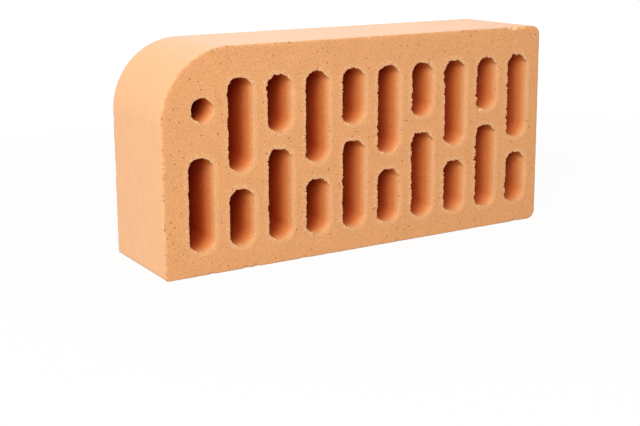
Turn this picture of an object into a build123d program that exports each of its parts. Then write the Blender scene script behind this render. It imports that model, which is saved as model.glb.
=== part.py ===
"""Hollow facing brick of the single size, 250 x 120 x 65 mm, with one upright corner rounded to a large radius.

The clay is extruded through a die as a column with this section and wire-cut to the brick's thickness, so
every face but the two cut beds follows the die: the big radius, the small rounded arrises and the staggered
cores that run right through. The brick stands on its long face with a perforated bed to the front (-Y).
X is the length, Y the thickness and Z the height. The origin is at the middle of the underside.
"""

import os

from build123d import *

# Brick, in millimetres
length = 250.0
height = 120.0
thickness = 65.0

# Corners of the die: the shaped one is at the top left, the sharpest at the bottom left
shaped_radius = 39.0
end_radius = 5.5
heel_radius = 2.0

# Arris that the cutting wire and the handling leave round both beds
cut_arris = 0.6

# Clay left round the cores
left_wall = 14.3
right_wall = 10.2
bottom_wall = 13.7
top_wall = 17.0
row_web = 10.3

# Cores: ten columns, each with a long and a short slot, and the long one changes ends from column to column
columns = 10
slot_width = 14.0
long_slot = 49.0
slot_corner = 6.0
short_slot = height - bottom_wall - top_wall - row_web - long_slot
column_pitch = (length - left_wall - right_wall - slot_width) / (columns - 1)
first_column = left_wall + slot_width / 2 - length / 2

# Round core that takes the place of the first short slot, beside the shaped corner
round_core_diameter = 12.0
round_core_shift = 1.5


def column_x(column):
    """Centre of a column of cores along the length."""
    return first_column + column * column_pitch


def slot_span(column, upper):
    """Lowest and highest point of a column's upper or lower slot."""
    long_is_upper = column % 2 == 1
    size = long_slot if upper == long_is_upper else short_slot
    if upper:
        return height - top_wall - size, height - top_wall
    return bottom_wall, bottom_wall + size


def die_outline():
    """The column's outer section, with each corner rounded as the die is."""
    half = length / 2
    corners = [
        ((-half, height), shaped_radius),
        ((half, height), end_radius),
        ((half, 0), end_radius),
        ((-half, 0), heel_radius),
    ]
    with BuildSketch(Plane.XZ) as outline:
        Rectangle(length, height, align=(Align.CENTER, Align.MIN))
        for place, radius in corners:
            fillet(outline.vertices().sort_by_distance(place)[0], radius)
    return outline.sketch


def cores():
    """The slots and the round core, as one section to be cut right through."""
    with BuildSketch(Plane.XZ) as section:
        for column in range(columns):
            for upper in (False, True):
                low, high = slot_span(column, upper)
                middle = (low + high) / 2
                if upper and column == 0:
                    with Locations((column_x(column) + round_core_shift, middle)):
                        Circle(round_core_diameter / 2)
                else:
                    with Locations((column_x(column), middle)):
                        RectangleRounded(slot_width, high - low, slot_corner)
    return section.sketch


def brick():
    """The extruded column, its arrises softened at both beds, with the cores cut through."""
    clay = extrude(die_outline(), amount=thickness / 2, both=True)
    bed_edges = clay.edges().filter_by_position(
        Axis.Y, -thickness / 2, -thickness / 2
    ) + clay.edges().filter_by_position(Axis.Y, thickness / 2, thickness / 2)
    clay = fillet(bed_edges, cut_arris)
    return clay - extrude(cores(), amount=thickness, both=True)


os.makedirs("parts", exist_ok=True)
export_step(brick(), "parts/brick.step")
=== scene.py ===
"""Hollow clay facing brick, dressed over its solid and set in a plain studio.

The brick is extruded as a column through a die and cut off by a wire, so it has two kinds of surface: the
smooth die skin round its sides and through its cores, and the two wire-cut beds. The wire tears the core
rims on the side that it moves towards, the upper left, and rounds them over on the other. All lengths are in
metres.
"""

import math
import random
from collections import namedtuple

import bmesh
import bpy
from mathutils import Matrix, Vector, noise


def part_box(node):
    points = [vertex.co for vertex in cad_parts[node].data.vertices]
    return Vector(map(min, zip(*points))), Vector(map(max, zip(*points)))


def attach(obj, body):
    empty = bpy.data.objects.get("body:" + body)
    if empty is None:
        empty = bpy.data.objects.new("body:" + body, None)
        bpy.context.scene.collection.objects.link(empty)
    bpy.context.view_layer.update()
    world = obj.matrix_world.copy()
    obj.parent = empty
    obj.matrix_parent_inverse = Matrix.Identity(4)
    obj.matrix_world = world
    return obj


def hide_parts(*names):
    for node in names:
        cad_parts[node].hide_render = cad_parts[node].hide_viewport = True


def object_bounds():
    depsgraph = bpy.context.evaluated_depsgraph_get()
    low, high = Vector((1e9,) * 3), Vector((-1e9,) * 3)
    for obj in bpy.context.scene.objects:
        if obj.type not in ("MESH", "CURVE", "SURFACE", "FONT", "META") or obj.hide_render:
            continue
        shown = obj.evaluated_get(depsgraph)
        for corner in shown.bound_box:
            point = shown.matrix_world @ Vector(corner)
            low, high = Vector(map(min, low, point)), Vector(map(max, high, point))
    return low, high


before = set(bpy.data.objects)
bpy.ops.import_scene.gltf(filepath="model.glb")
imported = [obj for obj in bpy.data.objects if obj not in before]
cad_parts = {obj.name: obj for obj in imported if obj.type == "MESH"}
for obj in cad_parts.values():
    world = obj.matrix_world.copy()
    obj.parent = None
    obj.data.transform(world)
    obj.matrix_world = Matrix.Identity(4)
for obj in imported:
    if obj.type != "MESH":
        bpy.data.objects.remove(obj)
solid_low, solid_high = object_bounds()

bl_info = {
    "name": "Hollow Facing Brick",
    "version": (1, 0, 0),
    "blender": (4, 5, 0),
    "location": "View3D > Sidebar > Brick",
    "description": "Models a hollow clay facing brick with torn core rims, fired clay and a plain studio",
    "category": "Add Mesh",
}

MM = 0.001
brick_low, brick_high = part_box("brick")

# Corners of a rounded block, as signs along the length and the height, clockwise from the upper left
CORNERS = ((-1, 1), (1, 1), (1, -1), (-1, -1))

# Rounded rectangle in the bed's plane: its middle, size, radii in the order of CORNERS, and what it is
Block = namedtuple("Block", "x z width height radii kind")

# Depths under a bed at which the outer faces, the cores and the inside of both get rows of points
SIDE_DEPTHS = [2.6 * MM, 1.4 * MM]
CORE_DEPTHS = [2.6 * MM, 1.5 * MM, 0.8 * MM]
INNER_DEPTH = 5.5 * MM

# Distances from an edge at which the bed gets rows of points, inside the margin and the strip
SIDE_REACHES = [1.1 * MM]
CORE_REACHES = [1.0 * MM, 1.7 * MM]

# How far outside a core's rim the wire leaves its lip, and half the lip's width
LIP_REACH = 2.1 * MM
LIP_HALF = 0.25 * MM

# Spacing of the points along each kind of edge, which is halved towards the front bed
SIDE_SPACING = 1.1 * MM
CORE_SPACING = 0.78 * MM
PIT_SPACING = 0.5 * MM

# Radius of the smallest pit, how much larger the largest is, and how far apart two of them are at least
PIT_RADIUS = 0.19 * MM
PIT_SPREAD = 0.4 * MM
PIT_GAP = 3 * MM

# Radius of the loop round a pit beside the pit's own, and a pit's depth beside the loop's width
PIT_LOOP = 1.5
PIT_DEPTH = 0.26

# Way across the bed that the cutting wire moved, towards the upper left
WIRE_WAY = Vector((-0.75, 0.0, 0.66)).normalized()

# Way to the corner of a core where the wire first tears the clay away, and how many teeth deep it does so
LOWER_LEFT = Vector((-1, 0, -1)).normalized()
CORNER_TEAR = 1.9

# How far a rim's way out follows the wire's way where it is only rounded and where it is only torn
TORN_RANGE = (-0.7, -0.25)

# Share by which even a rounded rim is torn
LEAST_TORN = 0.15

# How easily a rim tears at mid-length, how much that varies along it, and its growth for a metre to the right
BRITTLE = 0.85
BRITTLE_SWING = 0.6
BRITTLE_RISE = 2.4

# How easily the round core's rim tears, and its share of the lip
ROUND_BRITTLE = 0.45
ROUND_LIP = 0.2

# Sizes of the clay's lumps: a torn rim's teeth, its notches, and the stretches that tear more than others
FINE_TOOTH = 0.65 * MM
SMALL_TOOTH = 0.8 * MM
LARGE_TOOTH = 2.2 * MM
NOTCH_SIZE = 3.8 * MM
STRETCH = 17 * MM

# Part of the noise that the notches are read from, so that they don't follow the teeth
NOTCH_SHIFT = Vector((0.31, 0.07, 0.13))

# Place along Y, beyond each bed, where an edge's noise is read, so that it doesn't change with the depth
EDGE_NOISE_Y = 0.1

# Depth under a bed down to which a tear reaches, and width of the bed that sinks beside it
TEAR_DEPTH = 2.6 * MM
SINK_WIDTH = 1.6 * MM

# Most that a lip or a crumb rises, as a share of the lip's room between the bed and the brick's box
MOST_RAISED = 0.95

# Share of the front bed's torn arrises that the back bed gets, and how much of what is lost goes each way
BACK_WEAR = 0.4
LOSS_EACH_WAY = 0.75

# Small chips along the arrises, beside the large one near the right end
SMALL_CHIPS = 26

# Half the width of the floor
FLOOR_HALF = 4

# Where the lamps stand from the brick's middle, and how wide they are
KEY_PLACE = Vector((-1.14, -1.30, 0.82))
KEY_SIZE = 1.2
BACK_PLACE = Vector((0.36, 0.85, 0.33))
BACK_SIZE = 0.8


def linear(hex_colour):
    """Linear red, green and blue of an sRGB hex colour such as E6A36C."""
    channels = [int(hex_colour[i:i + 2], 16) / 255 for i in (0, 2, 4)]
    return [c / 12.92 if c <= 0.04045 else ((c + 0.055) / 1.055) ** 2.4 for c in channels]


def length_prop(name, description, millimetres):
    """A length as a property, given in millimetres."""
    return bpy.props.FloatProperty(
        name=name,
        description=description,
        default=millimetres * MM,
        unit="LENGTH",
        subtype="DISTANCE",
        precision=5,
    )


def colour_prop(name, description, hex_colour):
    """A colour as a property, given as sRGB hex."""
    return bpy.props.FloatVectorProperty(
        name=name, description=description, default=linear(hex_colour), subtype="COLOR", size=3, min=0, max=1
    )


class BrickSection(bpy.types.PropertyGroup):
    """Sizes of the brick and of the cores through it, as its die makes them"""

    length: length_prop("Length", "Length of the brick", (brick_high.x - brick_low.x) / MM)
    height: length_prop("Height", "Height as it stands on edge", (brick_high.z - brick_low.z) / MM)
    thickness: length_prop("Thickness", "From bed to bed", (brick_high.y - brick_low.y) / MM)
    shaped_radius: length_prop("Shaped radius", "Radius of the shaped corner, upper left", 39)
    end_radius: length_prop("End radius", "Radius of the two corners at the right", 5.5)
    heel_radius: length_prop("Heel radius", "Radius of the corner under the shaped one", 2)
    left_wall: length_prop("Left wall", "Clay between the left end and the cores", 14.3)
    right_wall: length_prop("Right wall", "Clay between the cores and the right end", 10.2)
    bottom_wall: length_prop("Bottom wall", "Clay under the cores", 13.7)
    top_wall: length_prop("Top wall", "Clay over the cores", 17)
    row_web: length_prop("Row web", "Clay between a column's two slots", 10.3)
    columns: bpy.props.IntProperty(name="Columns", description="Columns of cores", default=10, min=2)
    slot_width: length_prop("Slot width", "Width of every slot", 14)
    slot_corner: length_prop("Slot corner", "Radius in the corners of a slot", 6)
    long_slot: length_prop("Long slot", "Height of a column's long slot", 49)
    round_core: length_prop("Round core", "Diameter of the round core", 12)
    round_shift: length_prop("Round core shift", "How far the round core stands right of its column", 1.5)


class BrickWear(bpy.types.PropertyGroup):
    """What the wire, the kiln and handling leave on the brick"""

    arris: length_prop("Arris", "Radius of the arrises round the beds", 0.5)
    rim: length_prop("Rim", "Radius of a clean core rim", 0.3)
    tear: length_prop("Tear", "Usual depth of the teeth along a torn rim", 0.5)
    notch: length_prop("Notch", "Depth of the larger notches in it", 0.65)
    flare: length_prop("Flare", "How far the wire draws the other rims outwards", 1.4)
    flare_depth: length_prop("Flare depth", "How deep into a core it draws them", 6)
    fade: length_prop("Fade", "Depth over which their wall takes on the bed's colour", 7.2)
    lip: length_prop("Lip", "Height of the lip that it pushes up beyond them", 0.13)
    crumble: length_prop("Crumble", "Usual width of the crumbs lost from an arris", 0.4)
    strip: length_prop("Strip", "Width of the bed round a core that the rim's wear reaches", 3)
    margin: length_prop("Margin", "Width of the bed along an arris that its wear reaches", 1.8)
    front_pits: bpy.props.IntProperty(
        name="Front pits", description="Pits in the front bed", default=120, min=0
    )
    back_pits: bpy.props.IntProperty(name="Back pits", description="Pits in the back bed", default=50, min=0)
    seed: bpy.props.IntProperty(name="Seed", description="Seed of everything random", default=7)


class BrickColours(bpy.types.PropertyGroup):
    """Colours of the fired clay"""

    bed: colour_prop("Bed", "Wire-cut clay of the two beds", "E4A36D")
    skin: colour_prop("Skin", "Smooth die skin of the outer faces", "FCBC83")
    core: colour_prop("Core", "Die skin inside the cores, near the beds", "E18A46")
    # Painted shade: the deep core colour stands in for the shade deep inside the cores
    deep: colour_prop("Deep core", "Die skin deep inside the cores, burnt darker", "C03E02")
    # Raw is also painted on the tops of the lips and crumbs by the rims, partly as a painted highlight
    raw: colour_prop("Raw", "Fresh clay in tears and chips", "F6CFA2")
    grit: colour_prop("Grit", "Dark burnt grains and pits", "7C4020")
    sand: colour_prop("Sand", "Pale grains of sand", "F8D9B4")


class BrickStudio(bpy.types.PropertyGroup):
    """Camera and light round the brick"""

    focal: bpy.props.FloatProperty(
        name="Focal length", description="Lens of the camera", default=65.3, unit="CAMERA", subtype="DISTANCE"
    )
    place: bpy.props.FloatVectorProperty(
        name="Camera place",
        description="Where the camera stands",
        default=(-0.3565, -0.5636, 0.1813),
        subtype="XYZ",
    )
    turn: bpy.props.FloatVectorProperty(
        name="Camera turn",
        description="How the camera is turned",
        default=[math.radians(angle) for angle in (79.0, 0.29, -31.51)],
        subtype="EULER",
    )
    shift: bpy.props.FloatProperty(name="Shift", description="Vertical shift of the lens", default=-0.1)
    sky: bpy.props.FloatProperty(
        name="Sky", description="Strength of the even light from all round", default=0.4
    )
    key: bpy.props.FloatProperty(
        name="Key lamp", description="Power of the large lamp at the front left", default=39.0, unit="POWER"
    )
    back: bpy.props.FloatProperty(
        name="Back lamp",
        description="Power of the lamp behind, which grazes the top",
        default=2.1,
        unit="POWER",
    )
    white: colour_prop("White", "Backdrop", "FFFFFF")
    paper: colour_prop("Paper", "Floor, as the light meets it", "A0A0A0")


def core_blocks(section):
    """The slots and the round core. The long slot changes ends from column to column."""
    first_to_last = section.length - section.left_wall - section.right_wall - section.slot_width
    pitch = first_to_last / (section.columns - 1)
    walls = section.bottom_wall + section.top_wall + section.row_web
    short_slot = section.height - walls - section.long_slot
    blocks = []
    for column in range(section.columns):
        x = section.left_wall + section.slot_width / 2 - section.length / 2 + column * pitch
        for upper in (False, True):
            high = section.long_slot if upper == (column % 2 == 1) else short_slot
            z = section.height - section.top_wall - high / 2 if upper else section.bottom_wall + high / 2
            if upper and column == 0:
                radii = (section.round_core / 2,) * 4
                x += section.round_shift
                blocks.append(Block(x, z, section.round_core, section.round_core, radii, "core"))
            else:
                blocks.append(Block(x, z, section.slot_width, high, (section.slot_corner,) * 4, "core"))
    return blocks


def outline_block(section):
    """The brick's own outline."""
    radii = (section.shaped_radius, section.end_radius, section.end_radius, section.heel_radius)
    return Block(0, section.height / 2, section.length, section.height, radii, "outline")


def edge_offset(block, point):
    """How far a point lies outside a block's edge, and the direction straight out of it."""
    for (side_x, side_z), radius in zip(CORNERS, block.radii):
        centre_x = block.x + side_x * (block.width / 2 - radius)
        centre_z = block.z + side_z * (block.height / 2 - radius)
        away = Vector((point.x - centre_x, 0, point.z - centre_z))
        if away.x * side_x > 0 and away.z * side_z > 0:
            return away.length - radius, away.normalized()
    over_x = abs(point.x - block.x) - block.width / 2
    over_z = abs(point.z - block.z) - block.height / 2
    if over_x > over_z:
        return over_x, Vector((math.copysign(1, point.x - block.x), 0, 0))
    return over_z, Vector((0, 0, math.copysign(1, point.z - block.z)))


def draw_block(bm, block, y, spacing):
    """Draws a block's edge in the plane y, as a loop of edges about a spacing long."""
    if min(block.radii) >= block.width / 2:
        segments = max(8, round(math.tau * block.width / 2 / spacing))
        upright = Matrix.Translation((block.x, y, block.z)) @ Matrix.Rotation(math.radians(90), 4, "X")
        bmesh.ops.create_circle(bm, cap_ends=False, radius=block.width / 2, segments=segments, matrix=upright)
        return
    corners = []
    for side_x, side_z in CORNERS:
        place = (block.x + side_x * block.width / 2, y, block.z + side_z * block.height / 2)
        corners.append(bm.verts.new(place))
    bm.faces.new(corners)
    for corner, radius in zip(corners, block.radii):
        arc = max(2, round(radius * math.pi / 2 / spacing))
        bmesh.ops.bevel(
            bm,
            geom=[corner],
            offset=radius,
            offset_type="OFFSET",
            affect="VERTICES",
            segments=arc,
            profile=0.5,
            material=-1,
        )
    (face,) = bm.faces
    edges = list(face.edges)
    bm.faces.remove(face)
    for edge in edges:
        cuts = round(edge.calc_length() / spacing) - 1
        if cuts > 0:
            bmesh.ops.subdivide_edges(bm, edges=[edge], cuts=cuts)


def draw_blocks(bm, blocks, numbers, y, spacing):
    """Draws several blocks, marks their points with the block's number and returns the edges."""
    number = bm.verts.layers.int["block"]
    before = set(bm.edges)
    for index in numbers:
        draw_block(bm, blocks[index], y, spacing)
        for vert in bm.verts:
            if vert[number] == 0:
                vert[number] = index + 1
    return [edge for edge in bm.edges if edge not in before]


def sweep(bm, blocks, loop, steps):
    """Extrudes loops along steps, each of them how far out of its block a loop lies and its place along Y."""
    number = bm.verts.layers.int["block"]
    for (out_before, _), (out, y) in zip(steps, steps[1:]):
        made = bmesh.ops.extrude_edge_only(bm, edges=loop)["geom"]
        for vert in made:
            if isinstance(vert, bmesh.types.BMVert):
                _, away = edge_offset(blocks[vert[number] - 1], vert.co)
                vert.co += away * (out - out_before)
                vert.co.y = y
        loop = [edge for edge in made if isinstance(edge, bmesh.types.BMEdge) and edge.is_boundary]
    return loop


def bed_steps(side, bed, radius, way, reaches):
    """Steps over an arris or a rim and across the bed. The way is 1 out of a core and -1 into the brick."""
    steps = []
    for turn in (0, 45, 90):
        out = radius * (1 - math.cos(math.radians(turn)))
        depth = radius * (1 - math.sin(math.radians(turn)))
        steps.append((way * out, side * (bed - depth)))
    return steps + [(way * reach, side * bed) for reach in reaches]


def refine(bm, blocks, loop):
    """Halves the edges of loops, puts the new points on their block's edge and returns the finer loops."""
    number = bm.verts.layers.int["block"]
    bmesh.ops.subdivide_edges(bm, edges=loop, cuts=1, use_single_edge=True)
    verts = list(dict.fromkeys(vert for edge in loop for vert in edge.verts))
    for vert in verts:
        out, away = edge_offset(blocks[vert[number] - 1], vert.co)
        vert.co -= away * out
    return list(dict.fromkeys(edge for vert in verts for edge in vert.link_edges if edge.is_boundary))


def wrap(bm, blocks, start, bed, near, radius, way, reaches):
    """Sweeps walls from bed to bed and on across both beds, twice as finely at the front one.

    The start loops lie at the first near depth under the front bed. The edges are halved at the second.
    """
    to_front = [(0, depth - bed) for depth in near]
    finer = refine(bm, blocks, sweep(bm, blocks, start, to_front[:2]))
    sweep(bm, blocks, finer, to_front[1:] + bed_steps(-1, bed, radius, way, reaches))
    inner = bed - INNER_DEPTH
    to_back = [(0, y) for y in (near[0] - bed, -inner, 0, inner, bed - near[0], bed - near[-1])]
    sweep(bm, blocks, start, to_back + bed_steps(1, bed, radius, way, reaches))


def pit_blocks(outline, cores, count, wear, rng):
    """Small round blocks where a grain fell out of the bed, clear of the rims, the arrises and each other."""
    pits = []
    while len(pits) < count:
        radius = PIT_RADIUS + PIT_SPREAD * rng.random() ** 3
        ring = PIT_LOOP * radius
        guard = ring + 0.4 * MM
        spot = Vector((rng.uniform(-0.5, 0.5) * outline.width, 0, rng.random() * outline.height))
        clear_of_outline = -edge_offset(outline, spot)[0] > wear.margin + guard
        clear_of_cores = all(edge_offset(core, spot)[0] > wear.strip + guard for core in cores)
        clear_of_pits = all(math.dist((spot.x, spot.z), (pit.x, pit.z)) > PIT_GAP for pit in pits)
        if clear_of_outline and clear_of_cores and clear_of_pits:
            pits.append(Block(spot.x, spot.z, 2 * ring, 2 * ring, (ring,) * 4, "pit"))
    return pits


def sink_pits(bm, blocks, loop, side, bed):
    """Turns the loops round the pits into small bowls."""
    number = bm.verts.layers.int["block"]
    # The size of each ring beside the one before it, and how much of the pit's depth it has
    for shrink, sink in ((0.7, 0.0), (0.62, 0.55), (0.5, 1.0)):
        made = bmesh.ops.extrude_edge_only(bm, edges=loop)["geom"]
        for vert in made:
            if isinstance(vert, bmesh.types.BMVert):
                pit = blocks[vert[number] - 1]
                middle = Vector((pit.x, vert.co.y, pit.z))
                vert.co = middle.lerp(vert.co, shrink)
                vert.co.y = side * (bed - sink * pit.width * PIT_DEPTH)
        loop = [edge for edge in made if isinstance(edge, bmesh.types.BMEdge) and edge.is_boundary]
    bmesh.ops.collapse(bm, edges=loop)


def lumps(point, size):
    """Smooth noise from -1 to 1 whose lumps have a size."""
    return noise.noise(point / size)


def steps_of(point, size):
    """Noise from -1 to 1 in uneven steps of about a size, as clay breaks away in crumbs."""
    bent = point + 0.5 * size * noise.noise_vector(point / (1.6 * size))
    return noise.cell(bent / size)


def smoothstep(low, high, value):
    """Rises smoothly from 0 at low to 1 at high."""
    share = min(max((value - low) / (high - low), 0), 1)
    return share * share * (3 - 2 * share)


def torn_share(away):
    """How torn, rather than rounded, the wire leaves a core's rim whose way straight out is given."""
    return smoothstep(*TORN_RANGE, away.dot(WIRE_WAY))


def bite_into(wear, round_core, rim, away, torn):
    """How far a tear on a core's rim reaches out into the bed. Where a tooth is left, it is negative."""
    brittle = BRITTLE + BRITTLE_SWING * lumps(rim, STRETCH) + BRITTLE_RISE * rim.x
    if round_core:
        brittle = ROUND_BRITTLE
    # The large teeth are blockiest along the top
    blocky = 0.3 + 0.4 * max(away.z, 0)
    teeth = 0.75 * steps_of(rim, SMALL_TOOTH) + blocky * steps_of(rim, LARGE_TOOTH)
    teeth += 0.5 * lumps(rim, FINE_TOOTH)
    # Only the tops of the lumps become notches, and half a tooth's steps make their sides ragged
    notched = lumps(rim + NOTCH_SHIFT, NOTCH_SIZE) + 0.12 * steps_of(rim, LARGE_TOOTH / 2)
    notch = smoothstep(0.2, 0.34, notched) * (torn > 0.5)
    corner = smoothstep(0.75, 1, away.dot(LOWER_LEFT))
    return torn * brittle * (wear.tear * (teeth + CORNER_TEAR * corner) + wear.notch * notch)


def wear_rim(wear, block, point, out, away, depth):
    """Moves a point near a core's rim: torn on the side that the wire moved towards, rounded on the other.

    Some stretches of a rim tear more than others, the more so to the right. The round core's rim holds best.
    With the move comes the share of fresh clay, which on the tops of the lip and the crumbs is partly a
    painted highlight.
    """
    rim = point - away * max(out, 0)
    rim.y = math.copysign(EDGE_NOISE_Y, point.y)
    round_core = block.width == block.height
    lip = wear.lip * (ROUND_LIP if round_core else 1)
    torn = max(torn_share(away), LEAST_TORN)
    bite = bite_into(wear, round_core, rim, away, torn)
    over_bed = max(0, 1 - max(out, 0) / wear.strip)
    down_wall = max(0, 1 - depth / TEAR_DEPTH) ** 2

    # The wall flares towards the bed, and the die's own unevenness runs right through
    lift = 1 - min(depth / wear.flare_depth, 1)
    flare = (1 - torn) * wear.flare * lift ** 2
    drag = 0.12 * MM * lumps(Vector((rim.x, 0, rim.z)), 4 * MM)

    # The bed sinks beside a tear and has crumbs on it, and beyond a rounded rim it rises in an uneven ridge
    sunk = 0.2 * max(bite, 0) * max(0, 1 - out / SINK_WIDTH) ** 2 * down_wall
    on_bed = (depth < 0.1 * MM) * (out < LIP_REACH + 0.1 * MM)
    crumb = torn * lip * min(max(2.2 * lumps(point, 0.9 * MM), 0), 1) * on_bed
    along = 0.75 + 0.5 * lumps(rim, 6 * MM)
    ridge = (1 - torn) * lip * along * math.exp(-(((out - LIP_REACH) / LIP_HALF) ** 2))
    raised = min(ridge + crumb, MOST_RAISED * wear.lip)

    inward = Vector((0, -math.copysign(1, point.y), 0))
    move = away * ((bite * down_wall + flare + drag) * over_bed) + inward * (sunk - raised)
    # The torn clay shows fresh for a millimetre round the rim. The tops of the lip and the crumbs are painted
    # pale too: partly fresh clay, partly a painted highlight where they catch the light
    bared = (0.8 * torn + max(bite, 0) / wear.notch) * max(0, 1 - out / (1.0 * MM))
    return move, min(bared + raised / wear.lip, 1) * down_wall


def wear_arris(wear, chips, point, out, away, depth):
    """Moves a point near the outline: crumbs and chips at the arrises, faint die lines round the sides.

    With the move come the shares of fresh clay and of dark specks, and the depth that the skin is lost to.
    """
    arris = point + away * max(-out, 0)
    near = max(0, 1 - max(-out, depth) / wear.margin)
    torn = smoothstep(-0.3, 0.5, away.dot(WIRE_WAY)) * (1 if point.y < 0 else BACK_WEAR)

    # Crumbs are lost in some places and finer ones all along, and chips have uneven bottoms
    ragged = lumps(arris, 3.1 * MM) + 0.5 * steps_of(arris, 0.9 * MM) + 0.15 * torn - 0.45
    fine = (0.06 + 0.14 * torn) * (1 + steps_of(arris, 0.7 * MM))
    lost = wear.crumble * (1 + 0.6 * torn) * (min(max(ragged, 0), 1) + fine) * near
    for place, radius, deep in chips:
        gap = (arris - place).length / radius
        if gap < 1:
            uneven = 0.75 + 0.35 * lumps(arris, 1.2 * MM) + 0.25 * steps_of(arris, 1.5 * MM)
            lost += deep * (1 - gap * gap) ** 2 * near ** 0.5 * uneven
    loss = LOSS_EACH_WAY * lost

    # The die's lines are up to a tenth of a millimetre deep and the same from bed to bed
    along = Vector((arris.x, 0, arris.z))
    lines = (0.05 + 0.04 * lumps(along, 16 * MM) + 0.015 * lumps(along, 2.5 * MM)) * MM
    on_side = -out < 0.05 * MM
    inward = Vector((0, -math.copysign(1, point.y), 0))
    move = -away * (loss + lines * on_side) + inward * loss

    # The skin breaks off unevenly along the arris, with dark specks in groups of about 9 mm
    edge = Vector((arris.x, math.copysign(EDGE_NOISE_Y, point.y), arris.z))
    broken = max(0, steps_of(edge, 1.0 * MM) + 0.6 * lumps(edge, 0.8 * MM))
    bare = (0.2 + 0.8 * torn) * 0.5 * MM * broken
    speck = smoothstep(0.3, 0.5, lumps(edge + NOTCH_SHIFT, 1.3 * MM) + 0.35 * lumps(edge, 9 * MM) - 0.06)
    speck *= 0.75 * (max(-out, depth) < 0.7 * MM)
    fresh = 0.3 * min(lost / wear.crumble, 1) + 0.25 * smoothstep(0.8 * MM, 1.6 * MM, lost)
    return move, fresh, speck, bare


def chip_list(section, rng):
    """Chips out of the front and back arrises: where each is, how wide and how deep."""
    front = -section.thickness / 2
    near_right_end = Vector((0.424 * section.length, front, section.height))
    chips = [(near_right_end, 7.5 * MM, 2.8 * MM)]
    for _ in range(SMALL_CHIPS):
        side = rng.choice((-1, 1))
        x = rng.uniform(-0.48, 0.48) * section.length
        # Two in three of those along the length are at the foot, and one in five is at the left end instead
        z = rng.choice((0, 0, section.height))
        if rng.random() < 0.2:
            x = -0.5 * section.length
            z = rng.uniform(0.03, 0.6) * section.height
        chips.append((Vector((x, side * front, z)), rng.uniform(1.2, 3.2) * MM, rng.uniform(0.4, 1.0) * MM))
    return chips


def weather(bm, blocks, section, wear, bed, rng):
    """Moves every point by its wear, and marks die skin, core wall and fresh clay for the material."""
    number = bm.verts.layers.int["block"]
    skin = bm.verts.layers.float["skin"]
    core = bm.verts.layers.float["core"]
    fresh = bm.verts.layers.float["fresh"]
    pit = bm.verts.layers.float["pit"]
    chips = chip_list(section, rng)
    for vert in bm.verts:
        block = blocks[vert[number] - 1]
        out, away = edge_offset(block, vert.co)
        depth = bed - abs(vert.co.y)
        if block.kind == "core":
            move, vert[fresh] = wear_rim(wear, block, vert.co, out, away, depth)
            rounded = 1 - torn_share(away)
            vert[core] = smoothstep(0, wear.rim + wear.fade * rounded, depth)
        elif block.kind == "outline":
            move, vert[fresh], vert[pit], bare = wear_arris(wear, chips, vert.co, out, away, depth)
            vert[skin] = smoothstep(bare, bare + wear.arris, depth)
        else:
            inner = smoothstep(0, 0.25 * block.width, -out)
            ragged = Vector((lumps(vert.co, 0.7 * MM), 0, lumps(vert.co.zyx, 0.7 * MM)))
            move = ragged * (0.3 * block.width * inner)
            vert[pit] = min(depth / (0.1 * MM), 1)
        vert.co += move


def lies_at(edge, y):
    """Whether an edge lies in the plane y."""
    return all(abs(vert.co.y - y) < 0.01 * MM for vert in edge.verts)


def clay_mesh(section, wear):
    """The brick's whole surface: walls from bed to bed, worn strips round every edge, and the two beds."""
    rng = random.Random(wear.seed)
    # Without a seed, or with 0, the noise that bends the steps would start from the clock
    noise.seed_set(wear.seed + 1)
    bed = section.thickness / 2 - wear.lip
    outline = outline_block(section)
    cores = core_blocks(section)
    front_pits = pit_blocks(outline, cores, wear.front_pits, wear, rng)
    back_pits = pit_blocks(outline, cores, wear.back_pits, wear, rng)
    blocks = [outline, *cores, *front_pits, *back_pits]
    first_pit = 1 + len(cores)
    first_back_pit = first_pit + len(front_pits)

    bm = bmesh.new()
    bm.verts.layers.int.new("block")
    for name in ("skin", "core", "fresh", "pit"):
        bm.verts.layers.float.new(name)

    side_loop = draw_blocks(bm, blocks, [0], SIDE_DEPTHS[0] - bed, SIDE_SPACING)
    core_loops = draw_blocks(bm, blocks, range(1, first_pit), CORE_DEPTHS[0] - bed, CORE_SPACING)
    pit_loops = {
        -1: draw_blocks(bm, blocks, range(first_pit, first_back_pit), -bed, PIT_SPACING),
        1: draw_blocks(bm, blocks, range(first_back_pit, len(blocks)), bed, PIT_SPACING),
    }

    side_reaches = [*SIDE_REACHES, wear.margin]
    core_reaches = [*CORE_REACHES, LIP_REACH, wear.strip]
    wrap(bm, blocks, side_loop, bed, SIDE_DEPTHS, wear.arris, -1, side_reaches)
    wrap(bm, blocks, core_loops, bed, CORE_DEPTHS, wear.rim, 1, core_reaches)
    for side, loops in pit_loops.items():
        sink_pits(bm, blocks, loops, side, bed)

    for face in bm.faces:
        face.smooth = True
    for side in (-1, 1):
        rims = [edge for edge in bm.edges if edge.is_boundary and lies_at(edge, side * bed)]
        bmesh.ops.triangle_fill(bm, use_beauty=True, use_dissolve=False, edges=rims, normal=(0, side, 0))
    weather(bm, blocks, section, wear, bed, rng)
    bmesh.ops.recalc_face_normals(bm, faces=bm.faces)
    mesh = bpy.data.meshes.new("fired_brick")
    bm.to_mesh(mesh)
    bm.free()
    return mesh


def add_node(tree, kind, inputs=None, **settings):
    """Adds a node with its settings. An input goes by name or number, and is a value or a socket to link."""
    node = tree.nodes.new(kind)
    for name, value in settings.items():
        setattr(node, name, value)
    for name, value in (inputs or {}).items():
        if isinstance(value, bpy.types.NodeSocket):
            tree.links.new(value, node.inputs[name])
        else:
            node.inputs[name].default_value = value
    return node


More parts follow.
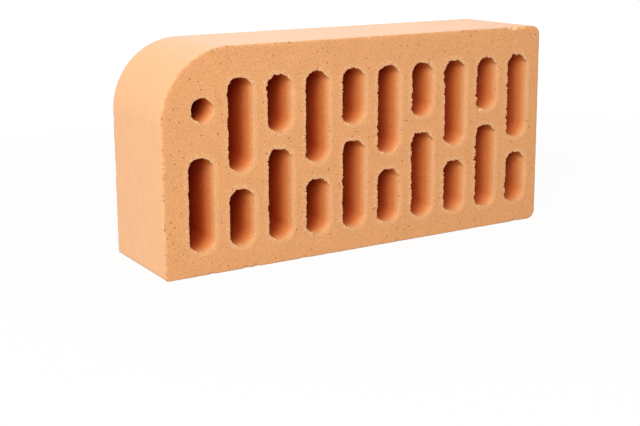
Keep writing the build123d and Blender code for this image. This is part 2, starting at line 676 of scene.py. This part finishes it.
def fired_clay(colours):
    """Fired clay, extruded and wire-cut: a matt, porous body with sand in it.

    The die leaves a closed, paler skin with faint lines along its way, which is the brick's thickness. The
    wire leaves an open, grainy bed with burnt grit, pale sand and pinholes. Deep inside the cores, painted
    shade darkens the walls.
    """
    material = bpy.data.materials.new("fired_clay")
    material.use_nodes = True
    tree = material.node_tree
    tree.nodes.clear()
    here = add_node(tree, "ShaderNodeTexCoord").outputs["Object"]
    # The lines of the die are drawn out twenty times as long as they are wide
    drawn = add_node(tree, "ShaderNodeMapping", {"Vector": here, "Scale": (1, 0.05, 1)}).outputs["Vector"]

    def pattern(vector, size, detail, rough=0.6):
        settings = {"Vector": vector, "Scale": 1 / size, "Detail": detail, "Roughness": rough}
        return add_node(tree, "ShaderNodeTexNoise", settings).outputs["Fac"]

    def spots(size, radius, soft):
        settings = {"Vector": here, "Scale": 1 / size, "Randomness": 1.0}
        cells = add_node(tree, "ShaderNodeTexVoronoi", settings).outputs["Distance"]
        return stretch(cells, radius / size, (radius + soft) / size, 1, 0)

    def stretch(value, low, high, to_low, to_high):
        settings = {"Value": value, "From Min": low, "From Max": high, "To Min": to_low, "To Max": to_high}
        mapped = add_node(tree, "ShaderNodeMapRange", settings, interpolation_type="SMOOTHSTEP")
        return mapped.outputs["Result"]

    def blend(share, below, above, kind="MIX"):
        settings = {0: share, 6: below, 7: above}
        return add_node(tree, "ShaderNodeMix", settings, data_type="RGBA", blend_type=kind).outputs[2]

    def maths(kind, first, second):
        return add_node(tree, "ShaderNodeMath", {0: first, 1: second}, operation=kind).outputs[0]

    def share_of(name):
        return add_node(tree, "ShaderNodeAttribute", attribute_name=name).outputs["Fac"]

    def rgba(colour):
        return (*colour, 1)

    skin, core, fresh, pit = (share_of(name) for name in ("skin", "core", "fresh", "pit"))
    # The die closes the clay of the core walls less than that of the outer faces
    smooth = maths("MAXIMUM", skin, maths("MULTIPLY", core, 0.3))
    open_clay = maths("SUBTRACT", 1, smooth)

    # Grain of 0.5 mm, patches of 9 mm where the clay is leaner, and die lines 0.8 mm wide
    grain = pattern(here, 0.5 * MM, 3)
    patches = pattern(here, 9 * MM, 3)
    lines = pattern(drawn, 0.8 * MM, 2)
    # Burnt grit and pale sand of about 0.3 mm, and pinholes of 0.5 mm, most of these in groups 14 mm wide
    grit = spots(2.7 * MM, 0.15 * MM, 0.16 * MM)
    sand = spots(2.3 * MM, 0.14 * MM, 0.16 * MM)
    groups = stretch(pattern(here, 14 * MM, 2), 0.4, 0.56, 0.35, 1)
    pinholes = maths("MULTIPLY", spots(3.7 * MM, 0.26 * MM, 0.18 * MM), groups)

    clay = blend(skin, rgba(colours.bed), rgba(colours.skin))
    from_middle = add_node(tree, "ShaderNodeSeparateXYZ", {"Vector": here}).outputs["Y"]
    # Painted shade: a core wall is painted darker from just under the beds inwards, and is darkest from 14 mm
    # either side of its middle
    painted_core_shade = stretch(maths("ABSOLUTE", from_middle, 0), 14 * MM, 34 * MM, 1, 0)
    clay = blend(core, clay, blend(painted_core_shade, rgba(colours.core), rgba(colours.deep)))
    # Fresh clay shows pale; on the tops of the lips and crumbs this pale is partly a painted highlight
    clay = blend(maths("MULTIPLY", fresh, 0.55), clay, rgba(colours.raw))
    shade = stretch(patches, 0.3, 0.7, 0.975, 1.02)
    speckle = stretch(grain, 0.3, 0.7, 0.82, 1.14)
    speckle = add_node(
        tree, "ShaderNodeMix", {0: maths("MULTIPLY", smooth, 0.85), 2: speckle, 3: 1.0}, data_type="FLOAT"
    ).outputs[0]
    clay = add_node(
        tree, "ShaderNodeVectorMath", {0: clay, "Scale": maths("MULTIPLY", shade, speckle)}, operation="SCALE"
    ).outputs["Vector"]
    on_bed = maths("SUBTRACT", 1, maths("MAXIMUM", skin, core))
    clay = blend(maths("MULTIPLY", sand, maths("MULTIPLY", on_bed, 0.6)), clay, rgba(colours.sand))
    # Grit, pits and pinholes are the same burnt brown, the deeper the darker
    dark_grit = maths("MULTIPLY", grit, maths("MULTIPLY", open_clay, 0.6))
    dark = maths("MAXIMUM", dark_grit, maths("MULTIPLY", pit, 0.75))
    dark = maths("MAXIMUM", dark, maths("MULTIPLY", pinholes, maths("MULTIPLY", open_clay, 0.8)))
    clay = blend(dark, clay, rgba(colours.grit))

    open_relief = maths("SUBTRACT", grain, maths("MULTIPLY", pinholes, 2.5))
    relief = add_node(
        tree, "ShaderNodeMix", {0: smooth, 2: open_relief, 3: lines}, data_type="FLOAT"
    ).outputs[0]
    depth = stretch(smooth, 0, 1, 0.9, 0.12)
    # The cut clay also swells softly every 4 mm
    swell = maths("MULTIPLY", pattern(here, 4 * MM, 2), maths("SUBTRACT", 1, skin))
    coarse = add_node(
        tree, "ShaderNodeBump", {"Height": swell, "Strength": 0.35, "Distance": 0.3 * MM}
    ).outputs["Normal"]
    bump = add_node(
        tree, "ShaderNodeBump", {"Height": relief, "Strength": depth, "Distance": 0.16 * MM, "Normal": coarse}
    ).outputs["Normal"]
    roughness = stretch(maths("ADD", grain, maths("MULTIPLY", open_clay, 0.5)), 0.3, 1.1, 0.5, 0.92)
    # The skin's dust shows pale at a low angle
    dust = maths("MULTIPLY", skin, 0.13)
    gloss = stretch(skin, 0, 1, 0.04, 0.5)
    finish = {"Roughness": roughness, "IOR": 1.5, "Specular IOR Level": gloss}
    sheen = {"Sheen Weight": dust, "Sheen Roughness": 0.5}
    surface = {"Base Color": clay, "Normal": bump, **finish, **sheen}
    shader = add_node(tree, "ShaderNodeBsdfPrincipled", surface)
    add_node(tree, "ShaderNodeOutputMaterial", {"Surface": shader.outputs["BSDF"]})
    return material


def seamless_paper(studio):
    """Matt paper that glows for the camera, so that it shows as white with a faint shadow.

    What the camera sees is four parts of glow to one of lit paper, and the brick gets the paper's own light.
    """
    material = bpy.data.materials.new("white_paper")
    material.use_nodes = True
    tree = material.node_tree
    tree.nodes.clear()
    ray = add_node(tree, "ShaderNodeLightPath")
    looks = add_node(
        tree,
        "ShaderNodeMath",
        {0: ray.outputs["Is Camera Ray"], 1: ray.outputs["Is Glossy Ray"]},
        operation="MAXIMUM",
    ).outputs[0]
    seen = add_node(tree, "ShaderNodeMath", {0: looks, 1: 0.8}, operation="MULTIPLY").outputs[0]
    paper = add_node(tree, "ShaderNodeBsdfDiffuse", {"Color": (*studio.paper, 1)}).outputs["BSDF"]
    # The glow grows from 0.3 m to 1.3 m away from the brick, to make up for the lamps' light as it fades
    here = add_node(tree, "ShaderNodeTexCoord").outputs["Object"]
    away = add_node(tree, "ShaderNodeVectorMath", {0: here}, operation="LENGTH").outputs["Value"]
    growth = {"Value": away, "From Min": 0.3, "From Max": 1.3, "To Min": 1.16, "To Max": 1.25}
    strength = add_node(tree, "ShaderNodeMapRange", growth).outputs["Result"]
    light = {"Color": (*studio.white, 1), "Strength": strength}
    glow = add_node(tree, "ShaderNodeEmission", light).outputs["Emission"]
    mixed = add_node(tree, "ShaderNodeMixShader", {0: seen, 1: paper, 2: glow}).outputs["Shader"]
    add_node(tree, "ShaderNodeOutputMaterial", {"Surface": mixed})
    return material


def even_sky(studio):
    """Even white light from all round, which the camera and reflections see as full white."""
    world = bpy.data.worlds.new("even_sky")
    world.use_nodes = True
    tree = world.node_tree
    tree.nodes.clear()
    ray = add_node(tree, "ShaderNodeLightPath")
    seen = {0: ray.outputs["Is Camera Ray"], 1: ray.outputs["Is Glossy Ray"]}
    direct = add_node(tree, "ShaderNodeMath", seen, operation="MAXIMUM").outputs[0]
    strength = add_node(
        tree, "ShaderNodeMapRange", {"Value": direct, "To Min": studio.sky, "To Max": 1.0}
    ).outputs["Result"]
    sky = add_node(tree, "ShaderNodeBackground", {"Color": (*studio.white, 1), "Strength": strength})
    add_node(tree, "ShaderNodeOutputWorld", {"Surface": sky.outputs["Background"]})
    bpy.context.scene.world = world


def area_lamp(name, power, size, place, target):
    """Adds a square soft lamp that faces a target."""
    lamp = bpy.data.lights.new(name, "AREA")
    lamp.energy = power
    lamp.size = size
    holder = bpy.data.objects.new(name, lamp)
    holder.location = place
    holder.rotation_euler = (Vector(target) - Vector(place)).to_track_quat("-Z", "Y").to_euler()
    bpy.context.scene.collection.objects.link(holder)


class MESH_OT_facing_brick_add(bpy.types.Operator):
    """Models the fired brick with its worn rims and arrises, and gives it its clay"""

    bl_idname = "mesh.facing_brick_add"
    bl_label = "Fired Brick"

    def execute(self, context):
        scene = context.scene
        mesh = clay_mesh(scene.brick_section, scene.brick_wear)
        mesh.materials.append(fired_clay(scene.brick_colours))
        brick = bpy.data.objects.new("fired_brick", mesh)
        scene.collection.objects.link(brick)
        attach(brick, "root")
        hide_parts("brick")
        return {"FINISHED"}


class SCENE_OT_brick_studio_add(bpy.types.Operator):
    """Sets the floor, the light and the camera round the brick"""

    bl_idname = "scene.brick_studio_add"
    bl_label = "Studio"

    def execute(self, context):
        scene = context.scene
        studio = scene.brick_studio
        plane = bmesh.new()
        bmesh.ops.create_grid(plane, x_segments=1, y_segments=1, size=FLOOR_HALF)
        mesh = bpy.data.meshes.new("floor")
        plane.to_mesh(mesh)
        plane.free()
        mesh.materials.append(seamless_paper(studio))
        floor = bpy.data.objects.new("floor", mesh)
        scene.collection.objects.link(floor)
        even_sky(studio)
        middle = (solid_low + solid_high) / 2
        area_lamp("key", studio.key, KEY_SIZE, middle + KEY_PLACE, middle)
        area_lamp("back", studio.back, BACK_SIZE, middle + BACK_PLACE, middle)
        lens = bpy.data.cameras.new("camera")
        lens.lens = studio.focal
        lens.sensor_width = 36
        lens.shift_y = studio.shift
        camera = bpy.data.objects.new("camera", lens)
        camera.location = studio.place
        camera.rotation_euler = studio.turn
        scene.collection.objects.link(camera)
        scene.camera = camera
        scene.view_settings.view_transform = "Standard"
        return {"FINISHED"}


class VIEW3D_PT_facing_brick(bpy.types.Panel):
    """Lists the brick's sizes, wear, colours and studio"""

    bl_idname = "VIEW3D_PT_facing_brick"
    bl_label = "Facing Brick"
    bl_space_type = "VIEW_3D"
    bl_region_type = "UI"
    bl_category = "Brick"

    def draw(self, context):
        for group in GROUPS:
            box = self.layout.box()
            box.label(text=group.removeprefix("brick_").capitalize())
            settings = getattr(context.scene, group)
            for name in settings.__annotations__:
                box.prop(settings, name)
        self.layout.operator(MESH_OT_facing_brick_add.bl_idname)
        self.layout.operator(SCENE_OT_brick_studio_add.bl_idname)


GROUPS = {
    "brick_section": BrickSection,
    "brick_wear": BrickWear,
    "brick_colours": BrickColours,
    "brick_studio": BrickStudio,
}
CLASSES = (*GROUPS.values(), MESH_OT_facing_brick_add, SCENE_OT_brick_studio_add, VIEW3D_PT_facing_brick)


def register():
    for item in CLASSES:
        bpy.utils.register_class(item)
    for name, group in GROUPS.items():
        setattr(bpy.types.Scene, name, bpy.props.PointerProperty(type=group))


def unregister():
    for name in GROUPS:
        delattr(bpy.types.Scene, name)
    for item in reversed(CLASSES):
        bpy.utils.unregister_class(item)


def main():
    """Builds the whole scene."""
    register()
    bpy.ops.mesh.facing_brick_add()
    bpy.ops.scene.brick_studio_add()


if __name__ == "__main__":
    main()
